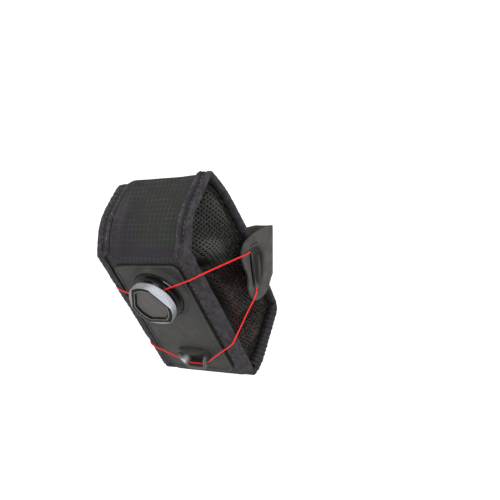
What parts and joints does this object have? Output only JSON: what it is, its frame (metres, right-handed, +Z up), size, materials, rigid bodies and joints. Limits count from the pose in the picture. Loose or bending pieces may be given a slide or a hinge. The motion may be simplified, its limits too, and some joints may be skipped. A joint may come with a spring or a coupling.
{
  "type": "bike seat pack",
  "caption": "Brick-shaped cloth seat pack with mesh sides that hangs under saddle rails, drawn tight by a lace and a turning dial on its rubber base.",
  "frame": {"origin": "midway between the two saddle rail loops, on the axis of the rails' steep rear run", "axes": "+Z up, +Y forward on the bicycle, +X to the rider's right"},
  "size_m": [0.0778, 0.0924, 0.1192],
  "materials": {
    "ripstop": "matt woven ripstop with a faint grid",
    "red_lining": "matt red cloth",
    "mesh": "fine black knitted mesh",
    "edge_tape": "matt woven tape with stitching",
    "rubber_pad": "matt rubber coating",
    "guide_metal": "satin dark coating",
    "black_plastic": "glossy black",
    "hub_plastic": "matt black",
    "grey_plastic": "satin light grey",
    "cap_plastic": "glossy border round a matt face",
    "coated_sheet": "matt coated sheet",
    "wing_guide": "matt moulded",
    "lace": "smooth red braided lace"
  },
  "bodies": {
    "pack": {"body_wrap": "ripstop", "lining": "red_lining", "side_mesh_right": "mesh", "side_mesh_left": "mesh", "binding_right": "edge_tape", "binding_left": "edge_tape", "front_gather_right": "edge_tape", "front_gather_left": "edge_tape", "base_pad": "rubber_pad", "lace_guide": "guide_metal", "dial_base": "black_plastic", "wing_right": "coated_sheet", "wing_left": "coated_sheet", "wing_guide_right": "wing_guide", "wing_guide_left": "wing_guide", "lace": "lace"},
    "spool": {"dial_hub": "hub_plastic"},
    "knob": {"dial_grip": "grey_plastic", "dial_cap": "cap_plastic"}
  },
  "joints": [
    {"name": "dial_turn", "type": "hinge", "parent": "pack", "child": "spool", "pos_m": [0, -0.05892, -0.02272], "axis": [0, -0.7536, -0.6574], "continuous": true},
    {"name": "dial_pull", "type": "slide", "parent": "spool", "child": "knob", "axis": [0, -0.7536, -0.6574], "range_m": [0, 0.0025]}
  ]
}
